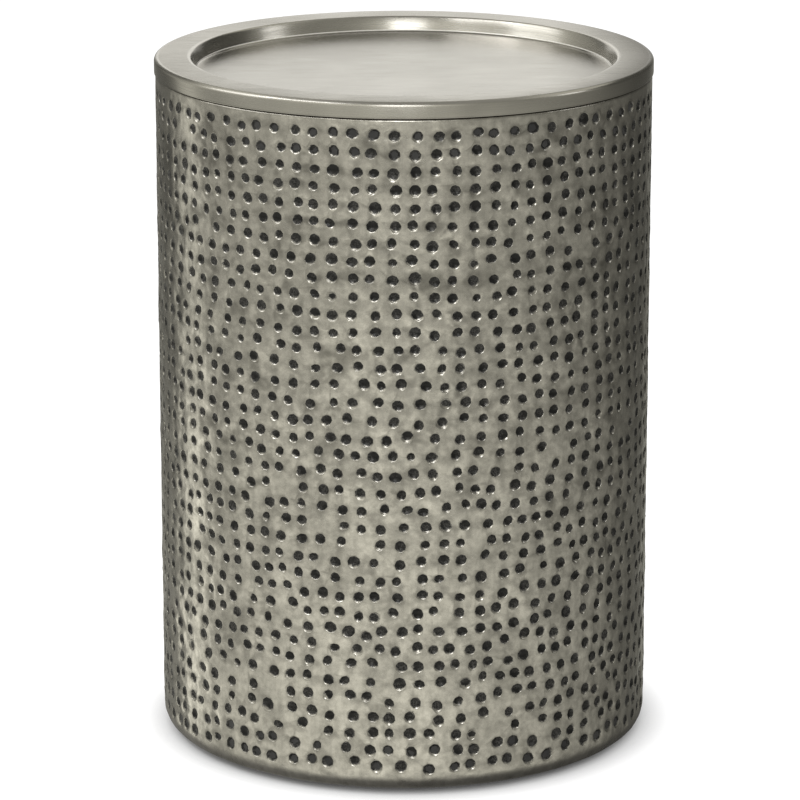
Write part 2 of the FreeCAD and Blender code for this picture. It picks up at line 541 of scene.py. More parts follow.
    def _black(self, net: Net, spot: Spot) -> tuple[Socket, Socket]:
        """Works out how black a point is: its soot, the tarnish round it, and painted shade on its upper-left
        side.

        Args:
            net: the material's net.
            spot: the point.

        Returns:
            The black in the punch, and the tarnish round it together with the painted shade on the mark's
            upper-left side, each from 0 to 1.
        """
        sway = {"Vector": spot.place, "Scale": self.soot_sway.scale, "Detail": self.soot_sway.detail}
        wander = net.node("TexNoise", sway).outputs["Color"]
        drift = net.vector("MULTIPLY_ADD", wander, self.soot_drift, self.soot_lean)
        radius = net.vector("LENGTH", net.vector("MULTIPLY_ADD", spot.punch, self.soot_widen, drift))
        ragged = net.scaled(net.noise(spot.place, self.ragged), self.ragged_size, -self.ragged_size / 2)
        soot = net.node("Attribute", attribute_name=SOOT_ATTRIBUTE).outputs["Fac"]
        bare = net.scaled(soot, -self.soot_shrink, self.soot_shrink)
        edge = net.remap(net.math("ADD", net.math("ADD", radius, ragged), bare), self.soot_span)
        mask = net.times(edge, net.math("LESS_THAN", spot.reach, self.mark_edge))
        ragged_reach = net.scaled(ragged, self.smudge_ragged, spot.reach)
        near = net.remap(ragged_reach, self.smudge_span, self.smudge_share)
        most = net.remap(spot.height, self.smudge_rise, self.smudge_most)
        patchy = net.mask(spot.place, self.smudge_patches, (0.0, most))
        # painted shade: the halo is darker on the upper-left side of every mark
        shaded_reach = net.math("ADD", ragged_reach, net.vector("DOT_PRODUCT", spot.punch, self.shade_lean))
        halo = net.remap(shaded_reach, self.halo_span, self.halo_share)
        return mask, net.math("MAXIMUM", net.times(near, patchy), halo)

    def _relief(self, net: Net, spot: Spot) -> Socket:
        """Works out the fine relief that the mesh leaves out: each mark's sharp wall, dents and pits.

        Args:
            net: the material's net.
            spot: the point.

        Returns:
            The relief's height.
        """
        wall = net.remap(net.off_axis(spot.punch), self.wall_span, self.wall_rise)
        beyond = net.remap(spot.reach, self.beyond_span, self.wall_rise)
        height = net.math("MAXIMUM", wall, beyond)
        for noise, size in self.relief:
            height = net.scaled(net.noise(spot.place, noise), size, height)
        return height


@dataclass(frozen=True)
class BrushedNickel(Finish):
    """Satin nickel with a hairline grain: straight on the tray's flats, and round its band and bends."""

    light: Triple = (0.488, 0.471, 0.437)
    dark: Triple = (0.410, 0.396, 0.365)
    # colour of the painted highlight along the floor's fillet
    painted_highlight: Triple = (0.80, 0.775, 0.715)
    roughness: Span = (0.30, 0.21)
    lines: float = 1300.0
    grain_share: float = 0.65
    grain_depth: float = 0.02 * MM
    grain_strength: float = 0.2
    cloud_scale: float = 14.0
    cloud_share: float = 0.35
    stretch: float = 0.72
    floor_edge: float = 135.5 * MM
    rim_inner: float = 143.0 * MM
    rim_outer: float = 161.9 * MM
    rim_level: float = 459.0 * MM
    floor_polish: float = 0.68
    floor_tone: float = 0.86
    floor_fade: float = 0.8 * MM
    crease_level: float = 450.60 * MM
    # painted highlight: a pale line along the fillet at the foot of the recess's wall
    highlight_half: float = 0.40 * MM
    highlight_radius: float = 139.0 * MM
    highlight_metal: float = 0.20

    def shade(self, net: Net, place: Socket, effects: Effects) -> Inputs:
        """Works out what the surface's shader takes.

        Args:
            net: the material's net.
            place: where a point is.
            effects: the shared shader groups.

        Returns:
            A value for each of the shader's inputs that isn't left as it is.
        """
        height, radius = net.split(place)[2], net.off_axis(place)
        turned = self._round(net, height, radius)
        grain = net.group(effects.grain, Vector=place, Round=turned, Lines=self.lines)
        clouds = net.group(effects.cloud, Vector=place, Scale=self.cloud_scale)
        tone = net.scaled(clouds["Broad"], self.cloud_share, net.times(grain["Tone"], self.grain_share))
        shade = self._floor_share(net, height, self.floor_tone)
        metal = net.vector("MULTIPLY", net.blend(tone, self.dark, self.light), net.join(shade, shade, shade))
        highlight_line = self._painted_highlight_line(net, height, radius)
        rough = net.remap(tone, UNIT, self.roughness)
        return {
            # painted highlight: a pale, less metallic line along the floor's fillet
            "Base Color": net.blend(highlight_line, metal, self.painted_highlight),
            "Metallic": net.scaled(highlight_line, self.highlight_metal - 1.0, 1.0),
            "Roughness": net.times(rough, self._floor_share(net, height, self.floor_polish)),
            "Anisotropic": self.stretch,
            "Tangent": net.join(0.0, net.math("SUBTRACT", 1.0, turned), turned),
            "Normal": net.bump(grain["Height"], self.grain_depth, self.grain_strength),
        }

    def _painted_highlight_line(self, net: Net, height: Socket, radius: Socket) -> Socket:
        """Finds the fine line at the foot of the recess's wall, which is painted pale and less metallic as a
        highlight.

        Args:
            net: the material's net.
            height: how high a point is.
            radius: how far from the axis it is.

        Returns:
            1 along the line, and 0 elsewhere.
        """
        off = net.math("ABSOLUTE", net.math("SUBTRACT", height, self.crease_level))
        line = net.remap(off, (self.highlight_half, self.highlight_half / 2))
        return net.times(line, net.math("LESS_THAN", radius, self.highlight_radius))

    def _floor_share(self, net: Net, height: Socket, share: float) -> Socket:
        """A share on the tray's floor, and 1 above it."""
        return net.remap(height, (self.crease_level - self.floor_fade, self.crease_level), (share, 1.0))

    def _round(self, net: Net, height: Socket, radius: Socket) -> Socket:
        """Finds which parts are brushed round the axis: all but the tray's floor and rim.

        Args:
            net: the material's net.
            height: how high a point is.
            radius: how far from the axis it is.

        Returns:
            0 on the floor and rim, and 1 elsewhere.
        """
        on_floor = net.math("LESS_THAN", radius, self.floor_edge)
        past_lip = net.math("GREATER_THAN", radius, self.rim_inner)
        before_band = net.math("LESS_THAN", radius, self.rim_outer)
        on_top = net.math("GREATER_THAN", height, self.rim_level)
        on_rim = net.times(past_lip, before_band, on_top)
        return net.math("SUBTRACT", 1.0, net.math("MAXIMUM", on_floor, on_rim))


@dataclass(frozen=True)
class Clouded(Finish):
    """A coating whose colour and gloss change in soft clouds, such as paint, vinyl or plating."""

    colour: Triple
    cloudy: Triple
    scale: float
    roughness: Span
    metallic: float = 0.0
    transmission: float = 0.0
    peel: Noise | None = None
    depth: float = 0.0
    strength: float = 0.4

    def shade(self, net: Net, place: Socket, effects: Effects) -> Inputs:
        """Works out what the surface's shader takes. Its relief is peel, or else the fine clouds.

        Args:
            net: the material's net.
            place: where a point is.
            effects: the shared shader groups.

        Returns:
            A value for each of the shader's inputs that isn't left as it is.
        """
        clouds = net.group(effects.cloud, Vector=place, Scale=self.scale)
        made = {
            "Base Color": net.blend(clouds["Broad"], self.colour, self.cloudy),
            "Metallic": self.metallic,
            "Roughness": net.remap(clouds["Fine"], UNIT, self.roughness),
            "Transmission Weight": self.transmission,
        }
        if self.depth:
            relief = net.noise(place, self.peel) if self.peel else clouds["Fine"]
            made["Normal"] = net.bump(relief, self.depth, self.strength)
        return made


@dataclass(frozen=True)
class Speckled(Finish):
    """A pressed or moulded material with a speckled ground, such as hardboard or rubber."""

    ground: Triple
    specks: Triple
    scale: float
    roughness: Span
    depth: float
    strength: float = 0.6
    ground_share: float = 0.6

    def shade(self, net: Net, place: Socket, effects: Effects) -> Inputs:
        """Works out what the surface's shader takes.

        Args:
            net: the material's net.
            place: where a point is.
            effects: the shared shader groups.

        Returns:
            A value for each of the shader's inputs that isn't left as it is.
        """
        speckle = net.group(effects.speckle, Vector=place, Scale=self.scale)
        mixed = net.math("MAXIMUM", net.times(speckle["Ground"], self.ground_share), speckle["Specks"])
        return {
            "Base Color": net.blend(mixed, self.ground, self.specks),
            "Roughness": net.remap(mixed, UNIT, self.roughness),
            "Normal": net.bump(mixed, self.depth, self.strength),
        }


class Finishes:
    """Every finish of the table, built once."""

    def __init__(self) -> None:
        """Builds the shared effects and the materials."""
        paint = Clouded(
            "black_paint", Slot.BLACK, colour=(0.028, 0.028, 0.029), cloudy=(0.060, 0.059, 0.057),
            scale=30.0, roughness=(0.45, 0.60), peel=Noise(700.0), depth=0.05 * MM, strength=0.5,
        )
        board = Speckled(
            "pressed_hardboard", Slot.BOARD, ground=(0.20, 0.115, 0.055), specks=(0.32, 0.21, 0.11),
            scale=500.0, roughness=(0.70, 0.58), depth=0.1 * MM,
        )
        vinyl = Clouded(
            "clear_vinyl", Slot.CLEAR, colour=(0.70, 0.72, 0.71), cloudy=(0.88, 0.89, 0.88),
            scale=300.0, roughness=(0.15, 0.35), transmission=0.8,
        )
        rubber = Speckled(
            "foot_rubber_fine", Slot.RUBBER, ground=(0.018, 0.018, 0.018), specks=(0.045, 0.044, 0.043),
            scale=1400.0, roughness=(0.72, 0.60), depth=0.05 * MM,
        )
        zinc = Clouded(
            "bright_zinc", Slot.ZINC, colour=(0.62, 0.62, 0.61), cloudy=(0.60, 0.56, 0.42),
            scale=160.0, roughness=(0.24, 0.40), metallic=1.0, depth=0.03 * MM,
        )
        punched = PunchedNickel("punched_nickel", Slot.NICKEL)
        brushed = BrushedNickel("brushed_nickel", Slot.TRAY)
        effects = Effects()
        kinds = (punched, brushed, paint, board, vinyl, rubber, zinc)
        self.by_slot = {kind.slot: kind.material(effects) for kind in kinds}

    def dress(self, piece: Piece, *slots: Slot) -> None:
        """Gives a piece its materials.

        Args:
            piece: the piece.
            slots: the slots, in the order of the piece's own.
        """
        piece.data.materials.clear()
        for slot in slots:
            piece.data.materials.append(self.by_slot[slot])

    def dress_node(self, name: str) -> None:
        """Gives a CAD node the finish that its own slots name.

        Args:
            name: the node's name.
        """
        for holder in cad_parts[name].material_slots:
            base = holder.material.name.split(".")[0]
            holder.material = self.by_slot[Slot(base)]


# ------------------------------------------------------------------------------------------- frame's sizes


class Turned(NamedTuple):
    """The extent of a turned CAD node: its smallest and largest radius, and its lowest and highest point."""

    inner: float
    outer: float
    low: float
    high: float

    @classmethod
    def of(cls, name: str) -> "Turned":
        """Measures a node of the frame.

        Args:
            name: the CAD node's name.

        Returns:
            Its extent.
        """
        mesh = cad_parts[name].data
        points = np.empty(len(mesh.vertices) * 3, np.float32)
        mesh.vertices.foreach_get("co", points)
        x, y, z = points.reshape(-1, 3).T
        radii = np.hypot(x, y)
        return cls(*(float(end) for end in (radii.min(), radii.max(), z.min(), z.max())))


@dataclass
class SheetSection:
    """The bent section of the drum's sheet, measured along its outer skin from the base's lip."""

    wall: Turned = field(default_factory=lambda: Turned.of("drum_wall"))
    mouth: Turned = field(default_factory=lambda: Turned.of("mouth_ring"))
    base: Turned = field(default_factory=lambda: Turned.of("base_ring"))
    base_bend: float = 11 * MM
    shoulder_bend: float = 1.3 * MM

    def __post_init__(self) -> None:
        """Works out where the section's five runs start: lip, base bend, wall, shoulder bend and flange."""
        radius = self.wall.outer
        lengths = (
            radius - self.base_bend - self.base.inner,
            self.base_bend * math.pi / 2,
            self.mouth.high - self.shoulder_bend - self.base.low - self.base_bend,
            self.shoulder_bend * math.pi / 2,
            radius - self.shoulder_bend - self.mouth.inner,
        )
        self.wall_length = lengths[2]
        self.starts = np.concatenate(([0.0], np.cumsum(lengths)))
        self.total = float(self.starts[-1])

    def along_wall(self, height: float) -> float:
        """How far along the section the wall's outer skin is at a height."""
        return float(self.starts[2]) + height - self.base.low - self.base_bend

    def at(self, along: Array, lift: Array) -> tuple[Array, Array]:
        """Finds points of the section.

        Args:
            along: how far along the outer skin each point is.
            lift: how far each stands out from that skin.

        Returns:
            The points' radii and heights.
        """
        start = self.starts
        base_turn = np.clip((along - start[1]) / self.base_bend, 0, math.pi / 2)
        mouth_turn = np.clip((along - start[3]) / self.shoulder_bend, 0, math.pi / 2)
        turn = base_turn + mouth_turn
        lip = np.clip(along, 0, start[1])
        rise = np.clip(along - start[2], 0, self.wall_length)
        flange = np.clip(along - start[4], 0, None)
        radius = self.base.inner + lip + self.base_bend * np.sin(base_turn)
        radius = radius - self.shoulder_bend * (1 - np.cos(mouth_turn)) - flange
        height = self.base.low + self.base_bend * (1 - np.cos(base_turn)) + rise
        height = height + self.shoulder_bend * np.sin(mouth_turn)
        return radius + lift * np.sin(turn), height - lift * np.cos(turn)


# ------------------------------------------------------------------------------------------- the punch marks


class Spread(NamedTuple):
    """A measure that varies by chance: its mean and deviation, and the ends it is cut off at."""

    mean: Number
    deviation: Number
    low: float
    high: float

    def draw(self, rng: np.random.Generator, count: int) -> Array:
        """Draws this many values."""
        return np.clip(rng.normal(self.mean, self.deviation, count), self.low, self.high)


class Grade(NamedTuple):
    """A measure that grows down the drum, from its mouth to its base."""

    at_mouth: float
    growth: float

    def at(self, low: Number) -> Number:
        """The measure where low is 0 at the mouth and 1 at the base."""
        return self.at_mouth + self.growth * low


class Wave(NamedTuple):
    """A slow wave over the sheet: its turns round the drum, length up it, size in mm and start."""

    turns: int
    length: float
    size: float
    start: float


class Sway(NamedTuple):
    """A wave along a row of marks: its turns round the drum, shift from row to row, size in mm and start."""

    turns: int
    per_row: float
    size: float
    start: float


def add_waves(waves: Sequence[Wave], turn: Array, along: Number) -> Array:
    """Adds up waves.

    Args:
        waves: the waves.
        turn: the angle round the drum of each point.
        along: how far along the section it is.

    Returns:
        The sum at each point, in metres.
    """
    return sum(w.size * MM * np.sin(w.turns * turn + TURN * along / w.length + w.start) for w in waves)


@dataclass
class Punches:
    """The punch marks of the drum: where each is on the unrolled sheet, and its size and shape.

    The marks were struck by hand along level rows, so a row keeps its height while the columns drift. Of the
    grades, sideways, upright and the ridge's are in millimetres, slip is in columns, and the rest are shares.
    """

    section: SheetSection
    rows: int = 37
    lowest: float = 19.5 * MM
    highest: float = 438.5 * MM
    low_slack: float = 1.5 * MM
    high_slack: float = 1.0 * MM
    per_row: int = 80
    fewer_low: int = 7
    fewer_power: float = 1.5
    count_jitter: tuple[int, int] = (-2, 3)
    rows_alike: int = 6
    slip: Grade = Grade(0.04, 0.10)
    column_drift: Grade = Grade(0.2, 0.9)
    sideways: Grade = Grade(0.90, 0.9)
    row_sway: Grade = Grade(0.5, 1.0)
    upright: Grade = Grade(0.75, 0.7)
    drifts: tuple[Wave, ...] = (
        Wave(3, 0.115, 3.4, 0.3),
        Wave(5, 0.082, 2.4, 1.9),
        Wave(8, 0.061, 1.7, 4.0),
        Wave(2, 0.21, 3.0, 5.2),
    )
    sways: tuple[Sway, ...] = (Sway(5, 0.21, 0.9, 0.0), Sway(11, -0.34, 0.6, 1.0))
    closest: float = 10.4 * MM
    passes: int = 26
    push_share: tuple[float, float] = (0.5, 0.4)
    seam_margin: float = 7 * MM
    missing_share: float = 0.012
    radius: float = 3.55 * MM
    sizes: Spread = Spread(1.0, 0.10, 0.74, 1.24)
    size_by_height: tuple[float, float, float] = (0.99, 0.42, 0.12)
    stretches: Spread = Spread(1.0, 0.10, 0.80, 1.24)
    skirt_share: float = 1.17
    room_share: float = 0.46
    depth: float = 1.3 * MM
    depths: Spread = Spread(1.0, 0.12, 0.6, 1.3)
    ridge_mean: Grade = Grade(0.04, 0.03)
    ridge_deviation: Grade = Grade(0.05, 0.11)
    ridge_ends: tuple[float, float] = (-0.08, 0.30)
    soots: Spread = Spread(1.02, 0.07, 0.7, 1.0)
    faint_share: float = 0.010
    faint_soot: tuple[float, float] = (0.70, 0.90)
    faint_depth: float = 0.55
    seed: int = 41

    def __post_init__(self) -> None:
        """Strikes every mark."""
        rng = np.random.default_rng(self.seed)
        self.girth = TURN * self.section.wall.outer
        self.around, self.along = self._rows(rng)
        self._spread_out()
        count = len(self.around)
        low = 1 - (self.along - self.along.min()) / np.ptp(self.along)
        self.stretch = self.stretches.draw(rng, count)
        usual, at_ends, at_base = self.size_by_height
        size = self.radius * self.sizes.draw(rng, count)
        size = size * (usual + at_ends * (low - 0.5) ** 2 + at_base * low**2)
        room = self._room() / np.maximum(self.stretch, 1 / self.stretch)
        self.size = np.minimum(size, room / self.skirt_share)
        self.free = room / self.size
        self.turn = rng.uniform(0, math.pi, count)
        self.sunk = self.depth * self.depths.draw(rng, count)
        ridges = Spread(self.ridge_mean.at(low), self.ridge_deviation.at(low), *self.ridge_ends)
        self.ridge = ridges.draw(rng, count) * MM
        self.soot = self.soots.draw(rng, count)
        faint = rng.random(count) < self.faint_share
        self.soot[faint] *= rng.uniform(*self.faint_soot, faint.sum())
        self.sunk[faint] *= self.faint_depth

    def _tree(self) -> KDTree:
        """Sorts the marks' centres, for finding which are near.

        Returns:
            The tree of centres.
        """
        tree = KDTree(len(self.around))
        for index, place in enumerate(zip(self.around, self.along)):
            tree.insert((*place, 0.0), index)
        tree.balance()
        return tree

    def _room(self) -> Array:
        """Measures the room that each mark has: a share of the way to the nearest other one.

        Returns:
            The room of each mark.
        """
        tree = self._tree()
        gaps = [tree.find_n((*place, 0.0), 2)[1][2] for place in zip(self.around, self.along)]
        return np.array(gaps) * self.room_share

    def _rows(self, rng: np.random.Generator) -> tuple[Array, Array]:
        """Places the marks row by row. A few rows share a count, so columns form and then slip.

        Args:
            rng: where all chance comes from.

        Returns:
            Where the marks are round and along the sheet.
        """
        around, along = [], []
        ends = (self.section.along_wall(self.lowest), self.section.along_wall(self.highest))
        lead, count = 0.0, self.per_row
        for row, level in enumerate(np.linspace(*ends, self.rows)):
            low = 1.0 - row / (self.rows - 1)
            if row % self.rows_alike == 0:
                fewer = round(self.fewer_low * low**self.fewer_power)
                count = self.per_row - fewer + int(rng.integers(*self.count_jitter))
            lead += rng.normal(0.0, self.slip.at(low))
            u = self.girth / 2 + (np.arange(count) - count // 2 + lead) * (self.girth / count)
            drift = add_waves(self.drifts, TURN * u / self.girth, level)
            u = (u + drift * self.column_drift.at(low)) % self.girth
            u = u + rng.normal(0, self.sideways.at(low) * MM, count)
            s = level + self._sway(u, row) * self.row_sway.at(low)
            s = s + rng.normal(0, self.upright.at(low) * MM, count)
            keep = rng.random(count) > self.missing_share
            keep &= (u > self.seam_margin) & (u < self.girth - self.seam_margin)
            around.append(u[keep])
            along.append(s[keep])
        return np.concatenate(around), np.concatenate(along)

    def _sway(self, u: Array, row: int) -> Array:
        """How far a row rises and falls along its length."""
        turn = TURN * u / self.girth
        return sum(w.size * MM * np.sin(w.turns * turn + w.per_row * row + w.start) for w in self.sways)

    def _spread_out(self) -> None:
        """Moves marks that are too close together apart, mostly sideways, as no two punches overlap."""
        sideways, upright = self.push_share
        low = self.section.along_wall(self.lowest - self.low_slack)
        high = self.section.along_wall(self.highest + self.high_slack)
        for _ in range(self.passes):
            tree = self._tree()
            push = np.zeros((len(self.around), 2))
            for index, (u, s) in enumerate(zip(self.around, self.along)):
                for near, other, gap in tree.find_range((u, s, 0.0), self.closest):
                    if other != index and gap > 0:
                        part = (self.closest - gap) / gap
                        push[index] += ((u - near[0]) * part * sideways, (s - near[1]) * part * upright)
            self.around = np.clip(self.around + push[:, 0], self.seam_margin, self.girth - self.seam_margin)
            self.along = np.clip(self.along + push[:, 1], low, high)

    def ring(self, share: Number, sides: int) -> Arrays:
        """Lays a ring of points in every mark.

        Args:
            share: the ring's radius as a share of the mark's own, one for all marks or one for each.
            sides: how many points it has.

        Returns:
            Where the points are round and along the sheet, and how far round and along they are from the
            mark's centre as shares of its radius, each an array of marks by points.
        """
        angle = np.arange(sides) * TURN / sides
        shares = np.broadcast_to(share, self.around.shape)[:, None]
        long_axis = (self.size * self.stretch)[:, None] * (shares * np.cos(angle)[None, :])
        short_axis = (self.size / self.stretch)[:, None] * (shares * np.sin(angle)[None, :])
        cos, sin = np.cos(self.turn)[:, None], np.sin(self.turn)[:, None]
        across = long_axis * cos - short_axis * sin
        up = long_axis * sin + short_axis * cos
        size = self.size[:, None]
        return self.around[:, None] + across, self.along[:, None] + up, across / size, up / size

    def reach_of(self, u: Array, s: Array) -> Array:
        """How far each point is from the nearest mark's centre, in mark radii."""
        tree = self._tree()
        return np.array([tree.find((a, b, 0.0))[2] for a, b in zip(u, s)]) / self.radius


# ------------------------------------------------------------------------------------------- sub-assemblies


def new_piece(name: str, points: Array, faces: Sequence[Sequence[int]]) -> Piece:
    """Makes a smooth mesh object in the scene.

    Args:
        name: the piece's name.
        points: its vertices, in metres.
        faces: each face's vertices, seen anticlockwise from outside.

    Returns:
        The object.
    """
    mesh = bpy.data.meshes.new(name)
    mesh.from_pydata(points.tolist(), [], faces)
    mesh.update()
    mesh.polygons.foreach_set("use_smooth", np.ones(len(mesh.polygons), bool))
    piece = bpy.data.objects.new(name, mesh)
    bpy.context.scene.collection.objects.link(piece)
    return piece


def joined(parts: Sequence[Arrays]) -> Arrays:
    """Joins parts that have the same columns, column by column."""
    return tuple(np.concatenate(column) for column in zip(*parts))


def unmarked(u: Array, s: Array, lift: Array, reach: Array) -> Arrays:
    """The columns of a skin's points outside every mark, which carry only how far off the nearest one is."""
    return u, s, lift, np.stack((np.zeros_like(u), np.zeros_like(u), reach), axis=-1), np.zeros(len(u))


@dataclass
class Skin:
    """One side of the punched sheet, unrolled: its points, and what they carry."""

    u: Array
    s: Array
    lift: Array
    punch: Array
    soot: Array

    def triangulate(self, girth: float) -> None:
        """Joins the points into triangles and closes the sheet into a tube.

        Args:
            girth: the sheet's length round the drum, where its last column meets its first.
        """
        scale = 1 / girth
        flat = [Vector((a * scale, b * scale)) for a, b in zip(self.u, self.s)]
        found = delaunay_2d_cdt(flat, [], [], 0, SAME_POINT)
        source = np.array([owners[0] for owners in found[3]])
        corners = source[np.array(found[2])]
        closing = np.arange(len(self.u))
        first = np.flatnonzero(self.u == 0.0)
        last = np.flatnonzero(self.u == girth)
        closing[last[np.argsort(self.s[last])]] = first[np.argsort(self.s[first])]
        self.corner_u, self.corner_s = self.u[corners], self.s[corners]
        self.triangles = closing[corners]


@dataclass
class DrumShell:
    """The drum: one rolled sheet with its edges turned in, and a blackened punch mark in every place.

    Shares of a mark, and the skirt's and halo's margins, are in mark radii.
    """

    section: SheetSection = field(default_factory=SheetSection)
    columns: int = 224
    lip_rows: int = 4
    bend_rows: int = 10
    bead_rows: int = 5
    shoulder_rows: int = 6
    sides: int = 8
    floor_sides: int = 5
    wide_sides: int = 4
    floor_share: float = 0.58
    brink_share: float = 0.97
    brink_drop: float = 0.155 * MM
    brink_dents: float = 0.4
    dents: float = 0.07 * MM
    skirt_margin: float = 0.3
    halo_share: float = 1.7
    halo_free: float = 0.98
    halo_margin: float = 0.15
    farthest: float = 2.2
    behind_share: float = 1.15
    behind_rise: float = 0.9
    welded_margin: float = 5 * MM
    outer_spacing: float = 6.5 * MM
    inner_spacing: float = 9.0 * MM
    row_spacing: float = 0.87
    jitter: float = 0.08
    jitter_seed: int = 7
    seam_half_width: float = 2.4 * MM
    seam_height: float = 0.12 * MM
    bead_along: float = 17.2 * MM
    bead_half_width: float = 1.0 * MM
    bead_clear: float = 1.3 * MM
    bead_height: float = 0.28 * MM
    calm_mouth: float = 6 * MM
    ripple_base: float = 1.35
    ripple_fall: float = 0.95
    ripple_over: float = 0.45
    ripples: tuple[Wave, ...] = (
        Wave(14, 0.083, 0.065, 0.4), Wave(-19, 0.064, 0.060, 2.2), Wave(23, 0.110, 0.050, 1.1),
        Wave(31, -0.047, 0.050, 3.9), Wave(-37, 0.041, 0.050, 5.0), Wave(47, 0.058, 0.045, 0.9),
        Wave(-58, 0.033, 0.040, 2.7),
    )
    bake_outer: float = 0.72
    bake_inner: float = 0.26
    bake_rims: float = 0.265

    def __post_init__(self) -> None:
        """Works out the sheet's thickness and girth and strikes the marks."""
        self.gauge = self.section.wall.outer - self.section.wall.inner
        self.punches = Punches(self.section)
        self.girth = self.punches.girth

    def _bend_levels(self) -> tuple[Array, Array]:
        """Finds where rows of points cross the sheet's bends.

        Returns:
            The rows on the base's lip and bend, and those on the shoulder's bend and flange.
        """
        start = self.section.starts
        bead = self.bead_along + np.linspace(-1, 1, self.bead_rows) * self.bead_half_width
        bend = np.linspace(start[1], start[2], self.bend_rows)[1:]
        bend = bend[np.abs(bend - self.bead_along) > self.bead_clear]
        base = np.sort(np.concatenate((np.linspace(0, start[1], self.lip_rows), bend, bead)))
        shoulder = np.linspace(start[3], start[4], self.shoulder_rows)
        flange = np.linspace(start[4], start[5], self.lip_rows)[1:]
        return base, np.concatenate((shoulder, flange))

    def _grid(self, levels: Array, reach: float) -> tuple[Array, Array]:
        """Lays rows of points round the sheet.

        Args:
            levels: how far along the section each row is.
            reach: how close to a mark a point may be, but for those at the sheet's ends.

        Returns:
            Where the points are round and along the sheet.
        """
        steps = np.arange(self.columns + 1) * self.girth / self.columns
        steps[-1] = self.girth
        u, s = (part.ravel() for part in np.meshgrid(steps, levels))
        keep = (u == 0.0) | (u == self.girth) | (self.punches.reach_of(u, s) > reach)
        return u[keep], s[keep]

    def _gaps(self, spacing: float, reach: float) -> tuple[Array, Array]:
        """Lays points between the marks, and the columns of the seam, which is left without marks.

        Args:
            spacing: how far apart the points are.
            reach: how close to a mark a point may be.

        Returns:
            Where the points are round and along the sheet.
        """
        start = self.section.starts
        rng = np.random.default_rng(self.jitter_seed)
        levels = np.arange(start[2] + spacing, start[3] - spacing / 2, spacing * self.row_spacing)
        steps = np.arange(spacing, self.girth - spacing / 2, spacing)
        u, s = np.meshgrid(steps, levels)
        u = u + (np.arange(len(levels)) % 2)[:, None] * spacing / 2
        u = u.ravel() + rng.normal(0, self.jitter, u.size) * spacing
        s = s.ravel() + rng.normal(0, self.jitter, s.size) * spacing
        edge = self.seam_half_width
        margin = edge + spacing / 2
        keep = (u > margin) & (u < self.girth - margin)
        keep &= self.punches.reach_of(u, s) > reach
        columns = np.array([0.0, edge / 2, edge, self.girth - edge, self.girth - edge / 2, self.girth])
        seam_u, seam_s = np.meshgrid(columns, levels)
        return joined(((u[keep], s[keep]), (seam_u.ravel(), seam_s.ravel())))

    def _ripple(self, u: Array, s: Array) -> Array:
        """How far the slow unevenness that hammering leaves stands out, which is largest near the base."""
        height = add_waves(self.ripples, TURN * u / self.girth, s)
        return height * (self.ripple_base - self.ripple_fall * np.clip(s / self.ripple_over, 0, 1))

    def _calm(self, s: Array) -> Array:
        """Finds a share that quiets the ripples on the bends and lips, which stay true.

        Args:
            s: how far along the section each point is.

        Returns:
            The share at each point.
        """
        start = self.section.starts
        from_base = np.clip((s - start[1]) / (start[2] - start[1]), 0, 1)
        from_mouth = np.clip((start[3] - s) / self.calm_mouth, 0, 1)
        return from_base * from_mouth

    def _seam(self, u: Array) -> Array:
        """How far the ground-down weld stands out at each point."""
        gap = np.minimum(u, self.girth - u) / self.seam_half_width
        return self.seam_height * np.clip(1 - gap, 0, 1)

    def _bead(self, s: Array) -> Array:
        """How far the fine bead that stiffens the base's bend stands out at each point."""
        away = np.clip(np.abs(s - self.bead_along) / self.bead_half_width, 0, 1)
        return self.bead_height * (0.5 + 0.5 * np.cos(math.pi * away))

    def _outer(self) -> Skin:
        """Lays out the punched outer skin.

        Returns:
            The skin, not yet joined into triangles.
        """
        marks = self.punches
        base, mouth = self._bend_levels()
        reach = marks.skirt_share + self.skirt_margin
        gaps = self._gaps(self.outer_spacing, self.halo_share + self.halo_margin)
        u, s = joined((self._grid(base, reach), self._grid(mouth, reach), gaps))
        lift = self._ripple(u, s) * self._calm(s) + self._seam(u) + self._bead(s)
        parts = [unmarked(u, s, lift, np.minimum(marks.reach_of(u, s), self.farthest))]
        centre = self._ripple(marks.around, marks.along)
        rng = np.random.default_rng(marks.seed)
        rings = (
            (self.floor_share, self.floor_sides, -marks.sunk, 0.0),
            (self.brink_share, self.sides, marks.ridge - self.brink_drop, self.brink_dents),
            (marks.skirt_share, self.sides, marks.ridge, 1.0),
        )
        for share, sides, height, uneven in rings:
            u, s, x, y = marks.ring(share, sides)
            lift = (centre + height)[:, None] + rng.normal(0, self.dents, u.shape) * uneven
            punch = np.stack((x, y, np.full_like(x, share)), axis=-1).reshape(-1, 3)
            parts.append((u.ravel(), s.ravel(), lift.ravel(), punch, np.repeat(marks.soot, sides)))
        parts.append(self._halo())
        return Skin(*joined(parts))

    def _halo(self) -> Arrays:
        """Lays a wide ring round each mark that has the room for it.

        Returns:
            The columns of the rings' points.
        """
        marks = self.punches
        share = np.minimum(marks.free * self.halo_free, self.halo_share)
        wide = share > marks.skirt_share + self.halo_margin
        u, s = (part[wide].ravel() for part in marks.ring(share, self.wide_sides)[:2])
        on_wall = (s > self.section.starts[2]) & (s < self.section.starts[3])
        u, s = u[on_wall], s[on_wall]
        reach = np.repeat(share[wide], self.wide_sides)[on_wall]
        return unmarked(u, s, self._ripple(u, s) * self._calm(s), reach)

